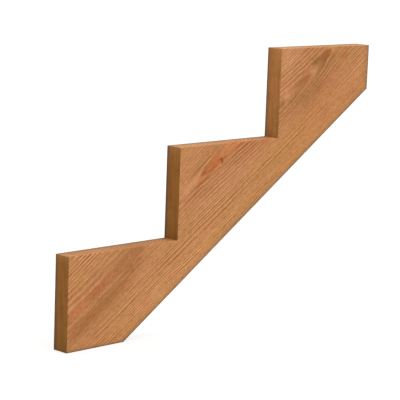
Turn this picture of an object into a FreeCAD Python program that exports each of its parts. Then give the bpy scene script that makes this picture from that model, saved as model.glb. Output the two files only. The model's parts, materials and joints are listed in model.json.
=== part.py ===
"""Stair stringer for three steps, sawn from one softwood board.

The frame is the stringer as it stands in a flight: x runs forward from the face of the first riser, y runs across
the thickness from its middle, and z runs up from the floor. Sizes are in millimetres.
"""

import FreeCAD, Part
import math
import os

# Steps: the layout that the board is marked out to
STEP_COUNT = 3
RISE = 184.15
RUN = 279.4

# Board: a planed plank with its four long edges eased at the mill
BOARD_WIDTH = 234.95
BOARD_THICKNESS = 38.1
EASED_RADIUS = 3.2

# Noses: how far below the board's upper edge they are marked, so that the two cuts meet in a sharp corner
NOSE_DEPTH = 1.0

PITCH = math.atan2(RISE, RUN)
TOTAL_RUN = STEP_COUNT * RUN
TOTAL_RISE = STEP_COUNT * RISE


def board_offset():
    """Distance, square to the board, from the toe up to the board's lower edge (negative: it lies below the toe)."""
    marked_nose = RISE * math.cos(PITCH)
    return marked_nose + NOSE_DEPTH - BOARD_WIDTH


def ease_long_edges(board):
    """Round the edges that run the length of a board lying along x."""
    long_edges = [edge for edge in board.Edges if abs(edge.tangentAt(edge.FirstParameter).x) > 0.5]
    return board.makeFillet(EASED_RADIUS, long_edges)


def plank():
    """The uncut board, leaning at the pitch of the flight and one board width longer than the cuts at each end."""
    marked_length = STEP_COUNT * math.hypot(RISE, RUN)
    corner = FreeCAD.Vector(-BOARD_WIDTH, -BOARD_THICKNESS / 2, board_offset())
    board = Part.makeBox(marked_length + 2 * BOARD_WIDTH, BOARD_THICKNESS, BOARD_WIDTH, corner)
    board = ease_long_edges(board)
    board.rotate(FreeCAD.Vector(0, 0, 0), FreeCAD.Vector(0, 1, 0), -math.degrees(PITCH))
    return board


def upright_block(x_start, z_start, length, height):
    """A block as thick as two boards, centred on the board's thickness, that marks out a set of square cuts."""
    corner = FreeCAD.Vector(x_start, -BOARD_THICKNESS, z_start)
    return Part.makeBox(length, 2 * BOARD_THICKNESS, height, corner)


def flight_envelope():
    """The four outer cuts: level foot, first riser, top tread and the plumb cut at the head."""
    return upright_block(0, 0, TOTAL_RUN, TOTAL_RISE)


def step_notch(step):
    """The waste over one tread, in front of the next riser, as far up as the board goes."""
    return upright_block((step - 1) * RUN, step * RISE, RUN, TOTAL_RISE - step * RISE)


def stringer():
    """The board after its outer cuts and its step notches."""
    board = plank().common(flight_envelope())
    notches = [step_notch(step) for step in range(1, STEP_COUNT)]
    return board.cut(notches).removeSplitter()


os.makedirs("parts", exist_ok=True)
stringer().exportStep("parts/stringer.step")
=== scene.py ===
"""Looks of the stair stringer: a sawn softwood board with eased edges and raised grain, on a white floor.

Everything is in metres in the part's own frame. The wood's figure is worked out in the board's own
coordinates, in millimetres: along from the heel, across from the lower edge, and through from the
middle of the thickness.
"""

import json
import math

import bmesh
import bpy
import numpy as np
from mathutils import Matrix, Vector

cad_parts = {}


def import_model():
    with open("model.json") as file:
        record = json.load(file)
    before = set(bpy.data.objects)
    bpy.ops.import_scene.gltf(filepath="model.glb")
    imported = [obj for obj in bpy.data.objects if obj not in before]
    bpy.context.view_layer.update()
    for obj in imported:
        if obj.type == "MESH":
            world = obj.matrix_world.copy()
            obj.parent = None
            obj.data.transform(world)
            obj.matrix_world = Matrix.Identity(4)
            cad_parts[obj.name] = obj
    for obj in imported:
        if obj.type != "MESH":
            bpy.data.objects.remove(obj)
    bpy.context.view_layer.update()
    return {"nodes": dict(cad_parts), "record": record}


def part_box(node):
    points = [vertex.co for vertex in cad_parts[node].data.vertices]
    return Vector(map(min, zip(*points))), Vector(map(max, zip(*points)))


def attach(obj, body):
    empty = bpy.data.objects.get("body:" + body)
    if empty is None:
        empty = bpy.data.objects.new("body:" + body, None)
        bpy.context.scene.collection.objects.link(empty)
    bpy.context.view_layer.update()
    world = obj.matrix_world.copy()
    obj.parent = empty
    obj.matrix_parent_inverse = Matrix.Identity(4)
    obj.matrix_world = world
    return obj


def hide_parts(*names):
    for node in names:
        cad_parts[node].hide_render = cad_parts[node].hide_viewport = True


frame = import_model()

MM = 0.001

# Two sizes of the part's source that the frame doesn't give: the depth of the noses below the plank's
# upper edge, and the radius of the plank's long edges
NOSE_DEPTH = 1.0 * MM
EASED_RADIUS = 3.2 * MM

# Sizes of the part, read from the frame
SEATS = {mount["name"]: Vector(mount["pos_m"]) for mount in frame["record"]["mounts"]}
STEP_COUNT = sum(name.startswith("tread_seat") for name in SEATS)
RUN = SEATS["tread_seat_2"].x - SEATS["tread_seat_1"].x
RISE = SEATS["tread_seat_2"].z - SEATS["tread_seat_1"].z
TOTAL_RUN = STEP_COUNT * RUN
TOTAL_RISE = STEP_COUNT * RISE
LENGTH = math.hypot(TOTAL_RUN, TOTAL_RISE)
PITCH = math.atan2(RISE, RUN)
ALONG = Vector((math.cos(PITCH), 0, math.sin(PITCH)))
ACROSS = Vector((-math.sin(PITCH), 0, math.cos(PITCH)))
HALF_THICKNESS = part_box("stringer")[1].y
CAD_ACROSS = [vertex.co.dot(ACROSS) for vertex in frame["nodes"]["stringer"].data.vertices]
LOWER_EDGE = min(CAD_ACROSS)
UPPER_EDGE = max(CAD_ACROSS) + NOSE_DEPTH
HEEL_ALONG = -LOWER_EDGE / math.tan(PITCH)
HEAD_LOW = TOTAL_RISE + LOWER_EDGE / math.cos(PITCH)

# Fineness of the mesh: rounded edges, rows along the grain, columns across it, a narrow strip beside
# each cut, and lines along the cuts and the lower edge
EASED_SEGMENTS, ROUND_PROFILE = 6, 0.5
ROW = 1.0 * MM
COLUMN = 6.0 * MM
ARRIS = 0.6 * MM
SAW_LINES = 17

# Narrower columns around the knot, in whole millimetres: the middle, the half-width and the step
KNOT_ALONG, KNOT_HALF, KNOT_COLUMN = 394, 14, 2

# What counts as the same place, as flat, as a sharp edge, and, by its cosine, as square to an axis
SNAP = 0.02 * MM
FLAT_ANGLE = math.radians(0.5)
SHARP_ANGLE = math.radians(40)
SQUARE = 0.99

# Relief of the surface, in millimetres; chance raised to a power leaves most of the tearing slight
GRAIN_RELIEF = 0.12
SAW_RELIEF = 0.08
ARRIS_WEAR = 0.28
ARRIS_TEAR, TEAR_POWER = 0.35, 3

# Where in a ring the hard wood starts to stand up, where it is at its highest, and where it drops again
HARD_START, HARD_FULL, HARD_STOP = 0.3, 0.85, 0.95

# Growth rings, in millimetres: even near the pith, then narrower and less alike
YOUNG_WIDTH, YOUNG_COUNT = 5.0, 9
MATURE_WIDTH, MATURE_SPREAD, MATURE_COUNT = 4.6, 0.2, 50

# Slow waves in the rings: lengths in millimetres, height as a share of the length, and the steepest lean
RIPPLE_LENGTHS = (420.0, 260.0, 150.0, 90.0, 55.0)
RIPPLE_SHARE = 0.0011
RIPPLE_LEAN = 1.5

# All that is left to chance starts from here
SEED = 11

# Path of the pith, in millimetres along the board: its height across the near face, which bends the
# rings within a reach of its mean, and its depth behind that face
PITH_MEAN, PITH_REACH = 143.0, 60.0
PITH_HEIGHT = ((20, 100, 300, 440, 600, 690, 776), (131, 135, 152, 152, 134, 135, 144))
PITH_DEPTH = (
    (-70, 0, 40, 120, 265, 335, 400, 450, 500, 607, 696, 776, 860),
    (43.9, 43.2, 42.3, 42.3, 33.5, 29.5, 25, 23.8, 24.5, 30, 35.5, 40, 45))


# Mesh

def link(name, data):
    """A new object with this mesh, lamp or camera, in the scene."""
    item = bpy.data.objects.new(name, data)
    bpy.context.scene.collection.objects.link(item)
    return item


def box_mesh(low, high, eased=0.0):
    """A box between two corners, with the edges along its first axis rounded if asked."""
    mesh = bmesh.new()
    low, high = Vector(low), Vector(high)
    bmesh.ops.create_cube(mesh, size=1.0)
    bmesh.ops.scale(mesh, vec=high - low, verts=mesh.verts)
    bmesh.ops.translate(mesh, vec=(low + high) / 2, verts=mesh.verts)
    if eased:
        long_edges = [e for e in mesh.edges if abs((e.verts[0].co - e.verts[1].co).x) > eased]
        bmesh.ops.bevel(mesh, geom=long_edges, offset=eased, segments=EASED_SEGMENTS,
                        profile=ROUND_PROFILE, affect="EDGES")
    data = bpy.data.meshes.new("box")
    mesh.to_mesh(data)
    mesh.free()
    return data


def plank():
    """The board before it is cut, at the pitch of the flight."""
    spare = UPPER_EDGE - LOWER_EDGE
    low = (-spare, -HALF_THICKNESS, LOWER_EDGE)
    high = (LENGTH + spare, HALF_THICKNESS, UPPER_EDGE)
    data = box_mesh(low, high, EASED_RADIUS)
    data.transform(Matrix.Rotation(-PITCH, 4, "Y"))
    return link("plank", data)


def upright_block(x_low, z_low, x_high, z_high):
    """A block that is twice as thick as the board, for a set of square cuts."""
    low = (x_low, -2 * HALF_THICKNESS, z_low)
    high = (x_high, 2 * HALF_THICKNESS, z_high)
    return link("block", box_mesh(low, high))


def sawn_mesh():
    """The plank after its outer cuts and its step notches."""
    board = plank()
    envelope = upright_block(0, 0, TOTAL_RUN, TOTAL_RISE)
    notches = [upright_block((k - 1) * RUN, k * RISE, k * RUN, TOTAL_RISE) for k in range(1, STEP_COUNT)]
    cuts = [("INTERSECT", envelope)] + [("DIFFERENCE", notch) for notch in notches]
    for operation, block in cuts:
        cut = board.modifiers.new(operation, "BOOLEAN")
        cut.operation = operation
        cut.object = block
        cut.solver = "EXACT"
    seen = board.evaluated_get(bpy.context.evaluated_depsgraph_get())
    data = bpy.data.meshes.new_from_object(seen)
    for spent in [board, envelope, *notches]:
        bpy.data.objects.remove(spent)
    return data


def slice_faces(mesh, normal, offsets, faces):
    """Cut faces along parallel planes from the lowest up; each cut meets only what is above the last."""
    above = list(faces)
    for offset in sorted(offsets):
        edges = dict.fromkeys(edge for face in above for edge in face.edges)
        corners = dict.fromkeys(corner for face in above for corner in face.verts)
        made = bmesh.ops.bisect_plane(mesh, geom=[*corners, *edges, *above], dist=SNAP,
                                      plane_co=normal * offset, plane_no=normal)
        found = [item for item in made["geom"] if isinstance(item, bmesh.types.BMFace)]
        above = [face for face in found if face.calc_center_median().dot(normal) > offset]
        if not above:
            return


def is_side(face):
    """True for the broad faces of the board."""
    return abs(face.normal.y) > SQUARE


def is_sawn(face):
    """True for a level or plumb cut."""
    return max(abs(face.normal.x), abs(face.normal.z)) > SQUARE


def is_lower(face):
    """True for the board's lower edge."""
    return face.normal.dot(ACROSS) < -SQUARE


def between(low, high, count):
    """Even places between two limits, without the limits."""
    return [low + (high - low) * i / count for i in range(1, count)]


def fine_board():
    """The sawn board with rows and columns of faces along its grain, and narrow strips beside its cuts."""
    mesh = bmesh.new()
    mesh.from_mesh(sawn_mesh())
    bmesh.ops.remove_doubles(mesh, verts=mesh.verts, dist=SNAP)
    bmesh.ops.dissolve_limit(mesh, angle_limit=FLAT_ANGLE, verts=mesh.verts, edges=mesh.edges)
    riser_strips = [k * RUN + ARRIS for k in range(STEP_COUNT)]
    tread_strips = [k * RISE - ARRIS for k in range(1, STEP_COUNT + 1)]
    slice_faces(mesh, Vector((1, 0, 0)), riser_strips + [TOTAL_RUN - ARRIS], mesh.faces)
    slice_faces(mesh, Vector((0, 0, 1)), tread_strips + [ARRIS], mesh.faces)
    inner = HALF_THICKNESS - ARRIS
    lined = [face for face in mesh.faces if is_sawn(face) or is_lower(face)]
    slice_faces(mesh, Vector((0, 1, 0)), [-inner, *between(-inner, inner, SAW_LINES), inner], lined)
    rows = between(LOWER_EDGE, UPPER_EDGE, round((UPPER_EDGE - LOWER_EDGE) / ROW))
    slice_faces(mesh, ACROSS, rows, mesh.faces)
    columns = between(0, LENGTH, round(LENGTH / COLUMN))
    columns += [HEEL_ALONG + (KNOT_ALONG + i) * MM for i in range(-KNOT_HALF, KNOT_HALF, KNOT_COLUMN)]
    slice_faces(mesh, ALONG, columns, mesh.faces)
    return mesh


# Figure of the wood

def board_coordinates(points):
    """Millimetres along from the heel, across from the lower edge, and through from the middle."""
    along = (points @ np.array(ALONG) - HEEL_ALONG) / MM
    across = (points @ np.array(ACROSS) - LOWER_EDGE) / MM
    return along, across, points[:, 1] / MM


def hump(value, centre, reach):
    """A smooth bump of height one."""
    return np.exp(-((value - centre) / reach) ** 2)


def ease_in(value, start, end):
    """Smoothly from zero at start to one at end."""
    share = np.clip((value - start) / (end - start), 0, 1)
    return share * share * (3 - 2 * share)


def ripple(along, across, through):
    """Slow waves that keep the rings from running dead straight, in millimetres."""
    rng = np.random.default_rng(SEED)
    total = np.zeros_like(along)
    for length in RIPPLE_LENGTHS:
        turn = rng.uniform(0, 2 * math.pi)
        lean = rng.uniform(-RIPPLE_LEAN, RIPPLE_LEAN)
        distance = along + lean * (across + through)
        total += RIPPLE_SHARE * length * np.sin(2 * math.pi * distance / length + turn)
    return total


def ring_ends():
    """How far from the pith each ring ends, in millimetres."""
    mature = MATURE_WIDTH * np.random.default_rng(SEED).normal(1, MATURE_SPREAD, MATURE_COUNT)
    return np.cumsum([0] + [YOUNG_WIDTH] * YOUNG_COUNT + list(mature))


def ring_number(along, across, through):
    """Growth rings counted from the pith, which runs behind the near face."""
    aside = across - PITH_MEAN
    aside = aside - (np.interp(along, *PITH_HEIGHT) - PITH_MEAN) * hump(aside, 0, PITH_REACH)
    below = np.interp(along, *PITH_DEPTH) - through - HALF_THICKNESS / MM
    ends = ring_ends()
    return np.interp(np.hypot(aside, below) + ripple(along, across, through), ends, np.arange(len(ends)))


def late_share(ring):
    """Nought in the soft early wood of a ring, one in the hard late wood near its end."""
    phase = ring - np.floor(ring)
    return ease_in(phase, HARD_START, HARD_FULL) * (1 - ease_in(phase, HARD_STOP, 1.0))


# Soft-edged places on the near face, in millimetres: along, across, reach along, reach across, strength.
# Red heart wood, brown and olive stains, pale wood, places where the rings show less, or more where the
# strength is below nought, and a pin knot with short arms
PLACES = {
    "red": (
        (-60, 132, 20, 8, 0.85), (5, 135, 30, 8, 0.5), (65, 131, 32, 9, 0.15), (52, 98, 14, 8, 0.35),
        (-20, 98, 90, 15, 0.5), (325, 145, 9, 7, 0.6), (342, 150, 11, 6, 0.9), (366, 142, 20, 3, 0.6),
        (374, 151, 16, 9, 0.7), (400, 150, 55, 13, 0.6), (446, 146, 22, 12, 0.5), (520, 99, 16, 5, 0.9),
        (595, 134, 11, 6, 0.4), (687, 133, 13, 8, 0.5), (766, 145, 9, 9, 0.8), (805, 108, 15, 8, 0.5),
        (650, 60, 120, 35, 0.22)),
    "brown": (
        (-80, 96, 50, 16, 0.4), (10, 100, 80, 15, 0.57), (20, 125, 130, 40, 0.15),
        (100, 114, 32, 10, 0.4), (90, 140, 45, 16, 0.3), (340, 150.5, 7, 4.5, 0.9),
        (358, 142.5, 16, 2.2, 0.8), (358, 158, 16, 2, 0.3), (593, 134, 12, 6, 0.9),
        (672, 138, 24, 9, 0.6), (672, 105, 48, 14, 0.25), (750, 140, 25, 12, 0.4),
        (720, 110, 120, 50, 0.15)),
    "olive": (
        (722, 149, 10, 7, 0.8), (18, 163, 14, 8, 0.3), (330, 172, 14, 6, 0.3),
        (620, 122, 26, 9, 0.2), (668, 106, 45, 14, 0.22)),
    "pale": (
        (292, 152, 32, 14, 0.4), (655, 195, 45, 22, 0.35), (200, 22, 200, 26, 0.3),
        (270, 185, 40, 30, 0.15), (702, 140, 10, 12, 0.3), (-68, 149, 22, 5, 0.3),
        (-62, 132, 16, 7, 0.5), (-48, 116, 26, 4, 0.35), (5, 121, 30, 2.5, 0.3),
        (790, 130, 14, 8, 0.3), (615, 148, 16, 10, 0.3)),
    "calm": (
        (0, 97, 110, 20, 0.75), (80, 150, 50, 25, 0.5), (310, 197, 24, 14, 0.5),
        (350, 172, 70, 8, 0.3), (640, 105, 60, 25, 0.5), (700, 72, 130, 30, 0.3),
        (680, 25, 150, 25, 0.4), (590, 137, 26, 14, 0.6), (510, 70, 40, 30, 0.3),
        (282, 155, 32, 15, 0.85), (315, 180, 60, 13, 0.4), (690, 172, 70, 11, 0.45),
        (775, 122, 45, 14, 0.5), (30, 132, 120, 11, 0.4), (335, 82, 110, 32, -0.2),
        (-20, 198, 45, 18, -0.45), (658, 195, 45, 20, -0.8), (170, 24, 140, 26, -1.0),
        (420, 24, 110, 24, -0.4), (369, 151, 15, 7, 0.6), (715, 142, 60, 16, -0.3),
        (-60, 132, 26, 8, 0.4)),
    "knot": (
        (393.5, 144.5, 4.0, 3.2, 1.0), (392.5, 138.5, 2.6, 4.0, 0.7),
        (402, 142, 5.0, 1.8, 0.6), (386, 148.5, 5.0, 1.8, 0.4))}

# How far the dark edges reach, in millimetres, partly handling dirt and partly painted shade: in from the
# far edge of a plumb or level cut, up a broad face from the lower edge and the foot, and back from the
# head on the near face, where it is weaker
DIRT_AND_SHADE_REACH_PLUMB, DIRT_AND_SHADE_REACH_LEVEL = 4.5, 8.0
DIRT_AND_SHADE_REACH_EDGE, DIRT_AND_SHADE_REACH_FOOT, DIRT_AND_SHADE_REACH_HEAD = 4.6, 2.4, 6.0
HEAD_DIRT_AND_SHADE = 0.7

# How far inwards the dirt and painted shade of the broad faces go round the board's edges, in millimetres
DIRT_AND_SHADE_WRAP = 2 * EASED_RADIUS / MM

# How far pale wear with a painted highlight reaches from a nose, and a stain with painted shade up from
# the foot of a riser, in millimetres
NOSE_REACH = 16.0
CORNER_REACH, CORNER_STAIN_AND_SHADE = 45.0, 0.5

# The height, as a share of its riser, of a point that is on none
MID_RISER = 0.5


def spread(places, along, across, through):
    """How strongly a point lies in any of some places on the near face, from minus one to one."""
    nearness = ease_in(through, HALF_THICKNESS / MM, -HALF_THICKNESS / MM)
    total = np.zeros_like(along)
    for centre_along, centre_across, reach_along, reach_across, strength in places:
        on_length = hump(along, centre_along, reach_along)
        on_width = hump(across, centre_across, reach_across)
        total += strength * on_length * on_width
    return np.clip(total * nearness, -1, 1)


def on_level_cut(points):
    """True for each point at the height of a tread or of the foot."""
    return np.abs(points[:, 2] - np.round(points[:, 2] / RISE) * RISE) < SNAP


def on_plumb_cut(points, sawn):
    """True for each point of a riser or of the head, apart from those at the height of a level cut."""
    return sawn & ~on_level_cut(points)


def share_of_rise(points):
    """How far each point is from the tread or foot below it to the tread above it, from nought to one."""
    steps = points[:, 2] / RISE
    return steps - np.floor(steps + SNAP / RISE)


def corner_stain_and_shade(points, sawn):
    """How strongly the lower end of each plumb cut is stained and given painted shade, from nought to one.
    """
    height = share_of_rise(points) * RISE / MM
    return CORNER_STAIN_AND_SHADE * np.exp(-height / CORNER_REACH) * on_plumb_cut(points, sawn)


def riser_height(points, sawn):
    """How far up its riser a point of a plumb cut is, from nought to one; half-way for other points."""
    return np.where(on_plumb_cut(points, sawn), share_of_rise(points), MID_RISER)


def edge_dirt_and_shade(points, place, sawn):
    """Painted shade and handling dirt, from nought to one, on the outer edges of the board."""
    half = HALF_THICKNESS / MM
    across, through = place[1:]
    reach = np.where(on_level_cut(points), DIRT_AND_SHADE_REACH_LEVEL, DIRT_AND_SHADE_REACH_PLUMB)
    on_cut = np.exp((through - half) / reach)
    outward = ease_in(np.abs(through), half - DIRT_AND_SHADE_WRAP, half)
    depths_in = np.minimum(across / DIRT_AND_SHADE_REACH_EDGE, points[:, 2] / MM / DIRT_AND_SHADE_REACH_FOOT)
    past_head = (points[:, 0] - TOTAL_RUN) / MM
    at_head = HEAD_DIRT_AND_SHADE * np.exp(past_head / DIRT_AND_SHADE_REACH_HEAD) * (through < 0)
    on_face = outward * np.maximum(np.exp(-np.maximum(depths_in, 0)), at_head)
    return np.where(sawn, on_cut, on_face)


def nose_wear_and_highlight(points, sawn):
    """Pale wear and a painted highlight: one on a nose of the flight, falling to nought over the cuts
    beside it.
    """
    step = np.clip(np.round(points[:, 0] / RUN), 0, STEP_COUNT - 1)
    tread = np.clip(np.round(points[:, 2] / RISE), 1, STEP_COUNT)
    step = np.where(np.abs(points[:, 2] - tread * RISE) < SNAP, tread - 1, step)
    distance = np.hypot(points[:, 0] - step * RUN, points[:, 2] - (step + 1) * RISE) / MM
    return np.exp(-distance / NOSE_REACH) * sawn


def lightened_cuts(points):
    """How much paler a cut is drawn, from nought to one: the whole last riser, and each tread more than
    the one below.
    """
    riser = np.abs(points[:, 0] - (TOTAL_RUN - RUN)) < SNAP
    tread = np.clip(np.round(points[:, 2] / RISE), 1, STEP_COUNT)
    on_tread = np.abs(points[:, 2] - tread * RISE) < SNAP
    return np.maximum(riser, on_tread * (tread - 1) / (STEP_COUNT - 1))


def saw_lines(points):
    """Lines that the blade left along each cut, different on each, from nought to one."""
    row = np.round((points[:, 1] / HALF_THICKNESS + 1) * SAW_LINES / 2).astype(int)
    plumb = np.round(points[:, 0] / RUN).astype(int)
    level = np.round(points[:, 2] / RISE).astype(int)
    on_plumb = np.abs(points[:, 0] - plumb * RUN) < SNAP
    cut = np.where(on_plumb, plumb, STEP_COUNT + 1 + level)
    lines = np.random.default_rng(SEED).uniform(0, 1, (2 * STEP_COUNT + 2, SAW_LINES + 1))
    return lines[cut, row]


def figure(points, sawn):
    """The numbers that the material reads at each point, by name."""
    place = board_coordinates(points)
    numbers = {name: spread(places, *place) for name, places in PLACES.items()}
    numbers["ring"] = ring_number(*place)
    numbers["saw"] = saw_lines(points) * sawn
    numbers["corner"] = corner_stain_and_shade(points, sawn)
    numbers["height"] = riser_height(points, sawn)
    numbers["nose"] = nose_wear_and_highlight(points, sawn)
    numbers["dirt_and_shade"] = edge_dirt_and_shade(points, place, sawn)
    numbers["lightened"] = lightened_cuts(points)
    return numbers


def set_attribute(data, name, values):
    """A number for each corner point, for the material to read."""
    attribute = data.attributes.new(name, "FLOAT", "POINT")
    attribute.data.foreach_set("value", values.astype(np.float32))


def arris_points(mesh):
    """One for each point on an edge between a broad face and a saw cut, nought for the others."""
    flags = np.zeros(len(mesh.verts))
    for edge in mesh.edges:
        sides = sum(map(is_side, edge.link_faces))
        cuts = sum(map(is_sawn, edge.link_faces))
        if sides == 1 and cuts == 1:
            flags[[corner.index for corner in edge.verts]] = 1
    return flags


def sawn_points(mesh):
    """True for each point that has only saw cuts round it."""
    return np.array([all(map(is_sawn, corner.link_faces)) for corner in mesh.verts])


def sunk_depth(ring, saw, worn):
    """How far in each point lies, in millimetres: soft wood, saw lines and worn saw-cut edges."""
    tear = np.random.default_rng(SEED).uniform(0, 1, len(ring)) ** TEAR_POWER
    wear = worn * (ARRIS_WEAR + ARRIS_TEAR * tear)
    return GRAIN_RELIEF * (1 - late_share(ring)) + SAW_RELIEF * saw + wear


# A flat map of the board in rows: the share of its height that each row has, the space around the rows,
# and the space between two cuts in a row
MAP_ROWS = {"near": 0.385, "far": 0.385, "lower": 0.05, "level": 0.078, "plumb": 0.078}
MAP_GAP = 0.004
CUT_GAP = 4 * MM

# How squarely a face looks along an axis to be mapped as a cut or as a broad face
MAP_CUT, MAP_SIDE = 0.9, 0.7


def map_places(points, facing):
    """For each row of the flat map: which corners are on it, how far along in metres, and how high."""
    along = points @ np.array(ALONG)
    across = (points @ np.array(ACROSS) - LOWER_EDGE) / (UPPER_EDGE - LOWER_EDGE)
    through = points[:, 1] / HALF_THICKNESS / 2 + 0.5
    tread = np.round(points[:, 2] / RISE)
    after_treads = np.where(tread == 0, TOTAL_RUN + STEP_COUNT * CUT_GAP, (tread - 1) * CUT_GAP)
    riser = np.round(points[:, 0] / RUN)
    after_risers = np.where(riser == STEP_COUNT, TOTAL_RISE - HEAD_LOW, 0) + riser * CUT_GAP
    level = np.abs(facing[:, 2]) > MAP_CUT
    plumb = np.abs(facing[:, 0]) > MAP_CUT
    side = np.abs(facing[:, 1]) > MAP_SIDE
    return {
        "near": (side & (facing[:, 1] < 0), along, across),
        "far": (side & (facing[:, 1] > 0), LENGTH - along, across),
        "lower": (~(side | level | plumb), along, 1 - through),
        "level": (level, after_treads + points[:, 0], np.where(facing[:, 2] > 0, through, 1 - through)),
        "plumb": (plumb, after_risers + points[:, 2], np.where(facing[:, 0] < 0, through, 1 - through))}


def add_flat_map(data, points):
    """A map of the board laid out flat, for pictures of its surface."""
    corners = np.empty(len(data.loops), np.int32)
    data.loops.foreach_get("vertex_index", corners)
    normals = np.empty(3 * len(data.polygons), np.float32)
    data.polygons.foreach_get("normal", normals)
    sizes = np.empty(len(data.polygons), np.int32)
    data.polygons.foreach_get("loop_total", sizes)
    places = map_places(points[corners], np.repeat(normals.reshape(-1, 3), sizes, axis=0))
    flat = np.zeros((len(corners), 2), np.float32)
    base = MAP_GAP
    for name, height in MAP_ROWS.items():
        inside, along, share = places[name]
        flat[inside, 0] = MAP_GAP + (1 - 2 * MAP_GAP) * along[inside] / LENGTH
        flat[inside, 1] = base + height * share[inside]
        base += height + MAP_GAP
    data.uv_layers.new(name="OFBake").data.foreach_set("uv", flat.ravel())


def stringer_board():
    """The board as a fine mesh with its figure as attributes and its relief sunk into the surface."""
    mesh = fine_board()
    mesh.verts.index_update()
    mesh.normal_update()
    worn = arris_points(mesh)
    sawn = sawn_points(mesh)
    points = np.array([corner.co for corner in mesh.verts])
    normals = np.array([corner.normal for corner in mesh.verts])
    data = bpy.data.meshes.new("stringer_board")
    mesh.to_mesh(data)
    mesh.free()
    add_flat_map(data, points)
    numbers = figure(points, sawn)
    for name, values in numbers.items():
        set_attribute(data, name, values)
    depth = sunk_depth(numbers["ring"], numbers["saw"], worn)
    data.vertices.foreach_set("co", (points - normals * depth[:, None] * MM).astype(np.float32).ravel())
    data.update()
    data.shade_smooth()
    data.set_sharp_from_angle(angle=SHARP_ANGLE)
    return link("stringer_board", data)


# Colours, as seen on a screen, and tints that multiply a colour

def srgb(red, green, blue):
    """A colour as seen on a screen, from 0 to 255, as linear light with full cover."""
    def linear(value):
        value /= 255
        return value / 12.92 if value <= 0.04045 else ((value + 0.055) / 1.055) ** 2.4
    return (linear(red), linear(green), linear(blue), 1.0)


MID_WOOD = srgb(195, 135, 84)
PALE_WOOD = srgb(229, 171, 118)
LATE_WOOD = srgb(148, 81, 24)
RED_HEART = srgb(198, 109, 54)
BROWN_STAIN = srgb(146, 95, 50)
OLIVE_STAIN = srgb(126, 100, 50)
KNOT_CORE = srgb(138, 62, 14)
# Dark colour of the edges, partly handling dirt and partly painted shade
DIRT_AND_SHADE = srgb(74, 66, 56)
# Paler noses: partly wear, partly a painted highlight
NOSE_PALE = srgb(210, 162, 100)
END_TINT = (0.72, 0.68, 0.43, 1.0)
# Paler end grain of the last riser
LIGHTENED_END_TINT = (1.04, 1.01, 0.84, 1.0)
LOW_RISER_TINT = (0.98, 1.05, 1.09, 1.0)
HIGH_RISER_TINT = (1.03, 0.93, 0.85, 1.0)
# Tops of the level cuts: paler and greyer from sawn fuzz and a painted sheen, the higher treads with more
# painted sheen
LEVEL_FUZZ_AND_SHEEN_TINT = (1.0, 1.05, 1.06, 1.0)
HIGH_LEVEL_SHEEN_TINT = (1.1, 1.3, 1.45, 1.0)
SAP_TINT = (1.02, 1.02, 0.97, 1.0)
HEART_TINT = (1.0, 0.99, 1.05, 1.0)
ROSE_TINT = (1.02, 0.98, 1.05, 1.0)
TAN_TINT = (0.98, 1.02, 0.95, 1.0)

# Tints of shade and light, and the share of them at which a colour stays as it is
SHADE_TINT = (0.79, 0.70, 0.55, 1.0)
LIGHT_TINT = (1.21, 1.30, 1.45, 1.0)
EVEN_SHADE = 0.5

# Noise in the wood: cells to the metre along, through and across the board, and detail
FIBRE = ((14, 420, 420), 4)
HAIR = ((50, 2600, 2600), 3)
BLOTCH = ((6, 26, 26), 2)
TONE = ((9, 24, 24), 1)
FLECK = ((150, 340, 340), 2)
PATCH = ((14, 34, 34), 1)
OLIVE_PATCH = ((60, 40, 40), 3)
WAVER = ((25, 120, 120), 2)

# Noise in the saw cuts: cells to the metre along each axis of the part, and detail
STREAK = ((50, 230, 16), 3)
RED_PATCH = ((40, 60, 14), 2)

# The part of a noise's range over which what it steers goes from its least to its most
PATCH_RANGE, TONE_RANGE = (0.35, 0.6), (0.3, 0.7)
OLIVE_RANGE, RED_RANGE = (0.45, 0.7), (0.45, 0.65)

# How squarely a face looks along the grain, or up, as it turns into end grain or a level cut
END_FACING, LEVEL_FACING = (0.5, 0.8), (0.7, 0.9)

# How strongly each shows
FIBRE_WAVER, SLOW_WAVER = 0.16, 0.3
FIBRE_SHADE, FLECK_SHADE, BLOTCH_SHADE, STREAK_SHADE = 0.95, 1.35, 0.6, 1.5
PALE_SHARE, RED_SHARE, BROWN_SHARE, OLIVE_SHARE = 0.8, 0.7, 0.85, 0.8
DIRT_AND_SHADE_SHARE, NOSE_SHARE = 0.92, 0.32
END_OLIVE, END_RED, END_PLAIN = 0.35, 0.2, 0.85
SAW_SHADE = 0.2

# Finish: the bump of the fibres, and the roughness, less on late wood and more on end grain
BUMP_STRENGTH, BUMP_DISTANCE = 0.5, 0.15 * MM
ROUGHNESS, LATE_GLOSS, END_ROUGHNESS = 0.72, 0.1, 0.15
SPECULAR = 0.12

# A ring's profile: where in it the pale wood ends, where the late wood starts, how soon that is full,
# and where it stops; late wood starts sooner in the wide rings near the pith
PALE_END, LATE_START, LATE_RISE, LATE_STOP = 0.45, 0.45, 0.42, 0.95
WIDE_LATE_START, WIDE_LATE_RING, NARROW_LATE_RING = 0.15, 9, 12

# How clearly a ring shows, by chance and by place, and how much less so near the pith
LEAST_CONTRAST, MOST_CONTRAST = 0.4, 1.08
YOUNG_RING, MATURE_RING, YOUNG_CONTRAST = 13, 22, 0.6

# Height above the lower edge at which sap wood starts to turn into heart wood, and at which it has
SAP_END, HEART_START = 25 * MM, 85 * MM


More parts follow.
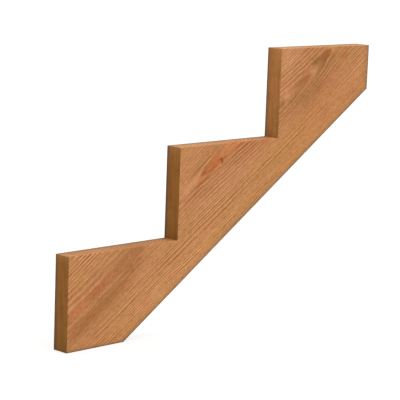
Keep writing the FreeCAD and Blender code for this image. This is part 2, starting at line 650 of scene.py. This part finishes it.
class Nodes:
    """The node tree of a material or a world, with short ways to add to it."""

    def __init__(self, owner):
        owner.use_nodes = True
        self.tree = owner.node_tree
        self.tree.nodes.clear()

    def add(self, kind, inputs=None, **properties):
        """A node, with each input linked from a socket or set to a value."""
        node = self.tree.nodes.new(kind)
        for name, value in properties.items():
            setattr(node, name, value)
        for key, value in (inputs or {}).items():
            if isinstance(value, bpy.types.NodeSocket):
                self.tree.links.new(value, node.inputs[key])
            else:
                node.inputs[key].default_value = value
        return node

    def maths(self, operation, *values):
        """The result of a sum on numbers."""
        return self.add("ShaderNodeMath", dict(enumerate(values)), operation=operation).outputs[0]

    def total(self, first, *others):
        """All these numbers added up."""
        for other in others:
            first = self.maths("ADD", first, other)
        return first

    def product(self, first, *others):
        """All these numbers multiplied."""
        for other in others:
            first = self.maths("MULTIPLY", first, other)
        return first

    def swing(self, value, gain):
        """A number around a half, as this gain times its distance from a half."""
        return self.maths("MULTIPLY_ADD", value, gain, -gain / 2)

    def mix(self, share, first, second, blend="MIX"):
        """Two colours mixed by a share, on the node's sockets for colours."""
        inputs = {0: share, 6: first, 7: second}
        return self.add("ShaderNodeMix", inputs, data_type="RGBA", blend_type=blend).outputs[2]

    def tinted(self, colour, share, first, second):
        """A colour multiplied by a mix of two tints."""
        return self.mix(1.0, colour, self.mix(share, first, second), "MULTIPLY")

    def shaded(self, colour, *swings):
        """A colour made darker and redder by swings below nought, lighter and paler by those above."""
        return self.tinted(colour, self.total(EVEN_SHADE, *swings), SHADE_TINT, LIGHT_TINT)

    def stained(self, colour, name, share, stain):
        """A colour with a stain where the mesh holds one."""
        return self.mix(self.product(self.attribute(name), share), colour, stain)

    def attribute(self, name):
        """A number that the mesh holds at each point."""
        return self.add("ShaderNodeAttribute", attribute_name=name).outputs["Fac"]

    def noise(self, place, pattern):
        """Noise with its own number of cells to the metre each way."""
        cells, detail = pattern
        scaled = self.add("ShaderNodeMapping", {"Vector": place, "Scale": cells}).outputs[0]
        inputs = {"Vector": scaled, "Scale": 1.0, "Detail": detail}
        return self.add("ShaderNodeTexNoise", inputs).outputs["Fac"]

    def ramp(self, value, low, high, start=0.0, end=1.0):
        """A number carried from one range to another, and kept inside it."""
        inputs = {"Value": value, "From Min": low, "From Max": high, "To Min": start, "To Max": end}
        return self.add("ShaderNodeMapRange", inputs, clamp=True).outputs[0]

    def upward(self, vector):
        """The length of a vector along its third axis."""
        return self.add("ShaderNodeSeparateXYZ", {0: vector}).outputs["Z"]


def ring_lines(nodes, place, fibre):
    """How pale and how dark a ring is at a point: pale early wood, then late wood that ends sharply."""
    ring = nodes.attribute("ring")
    slow = nodes.noise(place, WAVER)
    wavering = nodes.total(ring, nodes.swing(fibre, FIBRE_WAVER), nodes.swing(slow, SLOW_WAVER))
    phase = nodes.maths("FRACT", wavering)
    number = nodes.maths("FLOOR", wavering)
    own = nodes.add("ShaderNodeTexWhiteNoise", {"W": number}, noise_dimensions="1D").outputs["Value"]
    chance = nodes.ramp(own, 0, 1, LEAST_CONTRAST, MOST_CONTRAST)
    patch = nodes.ramp(nodes.noise(place, PATCH), *PATCH_RANGE, LEAST_CONTRAST, MOST_CONTRAST)
    mature = nodes.ramp(ring, YOUNG_RING, MATURE_RING, YOUNG_CONTRAST, 1)
    lively = nodes.maths("SUBTRACT", 1, nodes.attribute("calm"))
    strength = nodes.product(chance, patch, mature, lively)
    start = nodes.ramp(ring, WIDE_LATE_RING, NARROW_LATE_RING, WIDE_LATE_START, LATE_START)
    rise = nodes.ramp(nodes.maths("SUBTRACT", phase, start), 0, LATE_RISE)
    fall = nodes.ramp(phase, LATE_STOP, 1, 1, 0)
    early = nodes.ramp(phase, 0, PALE_END, 1, 0)
    return nodes.product(early, strength), nodes.product(rise, fall, strength)


def wood_colour(nodes, place, fibre, pale, late):
    """The colour along the grain: rings, stains, sap wood and heart wood, slow tones, and shade."""
    colour = nodes.mix(pale, MID_WOOD, PALE_WOOD)
    colour = nodes.mix(late, colour, LATE_WOOD)
    colour = nodes.stained(colour, "pale", PALE_SHARE, PALE_WOOD)
    colour = nodes.stained(colour, "red", RED_SHARE, RED_HEART)
    colour = nodes.stained(colour, "brown", BROWN_SHARE, BROWN_STAIN)
    colour = nodes.stained(colour, "olive", OLIVE_SHARE, OLIVE_STAIN)
    above_edge = nodes.maths("SUBTRACT", nodes.upward(place), LOWER_EDGE)
    colour = nodes.tinted(colour, nodes.ramp(above_edge, SAP_END, HEART_START), SAP_TINT, HEART_TINT)
    tone = nodes.ramp(nodes.noise(place, TONE), *TONE_RANGE)
    colour = nodes.tinted(colour, tone, ROSE_TINT, TAN_TINT)
    fleck = nodes.swing(nodes.noise(place, FLECK), FLECK_SHADE)
    blotch = nodes.swing(nodes.noise(place, BLOTCH), BLOTCH_SHADE)
    colour = nodes.shaded(colour, nodes.swing(fibre, FIBRE_SHADE), fleck, blotch)
    return nodes.mix(nodes.attribute("knot"), colour, KNOT_CORE)


def end_colour(nodes, position, place, colour):
    """The colour of end grain: plainer and darker, with olive and red patches and streaks from the saw.

    The last riser is drawn paler, and a riser goes from greener at its foot to redder at its nose.
    """
    colour = nodes.mix(END_PLAIN, colour, MID_WOOD)
    olive = nodes.ramp(nodes.noise(place, OLIVE_PATCH), *OLIVE_RANGE, 0, END_OLIVE)
    colour = nodes.mix(olive, colour, OLIVE_STAIN)
    # Olive stain and painted shade at the foot of each riser, in the inner corner
    colour = nodes.stained(colour, "corner", OLIVE_SHARE, OLIVE_STAIN)
    red = nodes.ramp(nodes.noise(position, RED_PATCH), *RED_RANGE, 0, END_RED)
    colour = nodes.mix(red, colour, RED_HEART)
    colour = nodes.shaded(colour, nodes.swing(nodes.noise(position, STREAK), STREAK_SHADE))
    # The last riser drawn paler
    colour = nodes.tinted(colour, nodes.attribute("lightened"), END_TINT, LIGHTENED_END_TINT)
    return nodes.tinted(colour, nodes.attribute("height"), LOW_RISER_TINT, HIGH_RISER_TINT)


def softwood():
    """Planed softwood: darker end grain where a saw cut crosses the fibres, and dirt and painted shade at
    the edges.
    """
    material = bpy.data.materials.new("softwood")
    nodes = Nodes(material)
    position = nodes.add("ShaderNodeTexCoord").outputs["Object"]
    place = nodes.add("ShaderNodeMapping", {"Vector": position, "Rotation": (0, PITCH, 0)}).outputs[0]
    fibre = nodes.noise(place, FIBRE)
    pale, late = ring_lines(nodes, place, fibre)
    colour = wood_colour(nodes, place, fibre, pale, late)
    normal = nodes.add("ShaderNodeNewGeometry").outputs["Normal"]
    facing = nodes.add("ShaderNodeVectorMath", {0: normal, 1: ALONG}, operation="DOT_PRODUCT")
    end = nodes.ramp(nodes.maths("ABSOLUTE", facing.outputs["Value"]), *END_FACING)
    colour = nodes.mix(end, colour, end_colour(nodes, position, place, colour))
    # Painted sheen on the level cuts, partly sawn fuzz, stronger on each tread up the flight
    level = nodes.ramp(nodes.upward(normal), *LEVEL_FACING)
    level_sheen_colour = nodes.tinted(colour, nodes.attribute("lightened"), LEVEL_FUZZ_AND_SHEEN_TINT, HIGH_LEVEL_SHEEN_TINT)
    colour = nodes.mix(level, colour, level_sheen_colour)
    colour = nodes.stained(colour, "saw", SAW_SHADE, LATE_WOOD)
    # Paler noses, partly wear and partly a painted highlight on their corners
    colour = nodes.stained(colour, "nose", NOSE_SHARE, NOSE_PALE)
    # Edges darkened, partly by handling dirt and partly by painted shade where they turn from the light
    colour = nodes.stained(colour, "dirt_and_shade", DIRT_AND_SHADE_SHARE, DIRT_AND_SHADE)
    rough = nodes.total(ROUGHNESS, nodes.product(late, -LATE_GLOSS), nodes.product(end, END_ROUGHNESS))
    relief = nodes.maths("ADD", fibre, nodes.noise(place, HAIR))
    bumps = {"Strength": BUMP_STRENGTH, "Distance": BUMP_DISTANCE, "Height": relief}
    bump = nodes.add("ShaderNodeBump", bumps).outputs[0]
    surface = {"Base Color": colour, "Roughness": rough, "Normal": bump, "Specular IOR Level": SPECULAR}
    shader = nodes.add("ShaderNodeBsdfPrincipled", surface)
    nodes.add("ShaderNodeOutputMaterial", {"Surface": shader.outputs[0]})
    return material


# Studio: the floor's glow, shade and bounce, the light from all round and how bright it looks, two lamps,
# and the photo's camera, with angles in degrees and its lens and sensor in millimetres

FLOOR_SIZE = 80.0
FLOOR_GLOW, FLOOR_SHADE, FLOOR_BOUNCE = 0.74, 0.3, 0.5
AMBIENT, BACKDROP = 0.69, 1.0
KEY_FROM, KEY_STRENGTH, KEY_SPREAD = (0.45, -0.85, 0.55), 1.2, 25
TOP_FROM, TOP_STRENGTH, TOP_SPREAD = (0.1, 0.1, 1.0), 0.9, 60
CAMERA_PLACE = (-1.9954, -2.3378, 0.8194)
CAMERA_YAW, CAMERA_PITCH, CAMERA_ROLL = 45.179, -9.659, 2.132
CAMERA_LENS, CAMERA_SENSOR = 151.56, 36.0


def grey(level):
    """A grey with full cover."""
    return (level, level, level, 1.0)


def shows_to_camera(nodes):
    """One for a ray from the camera, straight or by a mirror or glass, and nought for light."""
    path = nodes.add("ShaderNodeLightPath").outputs
    seen = nodes.maths("MAXIMUM", path["Is Camera Ray"], path["Is Glossy Ray"])
    return nodes.maths("MAXIMUM", seen, path["Is Transmission Ray"])


def floor():
    """A white floor that keeps the board's shadow."""
    material = bpy.data.materials.new("floor")
    nodes = Nodes(material)
    bounce = nodes.add("ShaderNodeBsdfDiffuse", {"Color": grey(FLOOR_BOUNCE)})
    shade = nodes.add("ShaderNodeBsdfDiffuse", {"Color": grey(FLOOR_SHADE)})
    glow = nodes.add("ShaderNodeEmission", {"Strength": FLOOR_GLOW})
    white = nodes.add("ShaderNodeAddShader", {0: shade.outputs[0], 1: glow.outputs[0]})
    both = {0: shows_to_camera(nodes), 1: bounce.outputs[0], 2: white.outputs[0]}
    nodes.add("ShaderNodeOutputMaterial", {"Surface": nodes.add("ShaderNodeMixShader", both).outputs[0]})
    half = FLOOR_SIZE / 2
    corners = [(-half, -half, 0), (half, -half, 0), (half, half, 0), (-half, half, 0)]
    data = bpy.data.meshes.new("floor")
    data.from_pydata(corners, [], [(0, 1, 2, 3)])
    data.materials.append(material)
    link("floor", data)


def world():
    """Even white light from all round, seen as plain white."""
    scene_world = bpy.data.worlds.new("studio")
    bpy.context.scene.world = scene_world
    nodes = Nodes(scene_world)
    strength = nodes.ramp(shows_to_camera(nodes), 0, 1, AMBIENT, BACKDROP)
    light = nodes.add("ShaderNodeBackground", {"Color": grey(1.0), "Strength": strength})
    nodes.add("ShaderNodeOutputWorld", {"Surface": light.outputs[0]})


def lamp(name, comes_from, strength, spread_degrees):
    """A broad, distant, soft light."""
    light = bpy.data.lights.new(name, "SUN")
    light.energy = strength
    light.angle = math.radians(spread_degrees)
    link(name, light).rotation_euler = Vector(comes_from).to_track_quat("Z", "Y").to_euler()


def camera():
    """The photograph's camera, from its place, its bearing from +Y towards +X, its tilt and its roll."""
    yaw, tilt, roll = (math.radians(angle) for angle in (CAMERA_YAW, CAMERA_PITCH, CAMERA_ROLL))
    forward = Vector((math.sin(yaw) * math.cos(tilt), math.cos(yaw) * math.cos(tilt), math.sin(tilt)))
    level = Vector((math.cos(yaw), -math.sin(yaw), 0))
    upright = level.cross(forward)
    right = level * math.cos(roll) + upright * math.sin(roll)
    up = upright * math.cos(roll) - level * math.sin(roll)
    data = bpy.data.cameras.new("camera")
    data.lens = CAMERA_LENS
    data.sensor_width = CAMERA_SENSOR
    data.clip_end = 2 * FLOOR_SIZE
    holder = link("camera", data)
    turned = Matrix((right, up, -forward)).transposed().to_4x4()
    holder.matrix_world = Matrix.Translation(CAMERA_PLACE) @ turned
    bpy.context.scene.camera = holder


board = stringer_board()
board.data.materials.append(softwood())
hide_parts("stringer")
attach(board, "root")

floor()
world()
lamp("key", KEY_FROM, KEY_STRENGTH, KEY_SPREAD)
lamp("top", TOP_FROM, TOP_STRENGTH, TOP_SPREAD)
camera()
bpy.context.scene.view_settings.view_transform = "Standard"
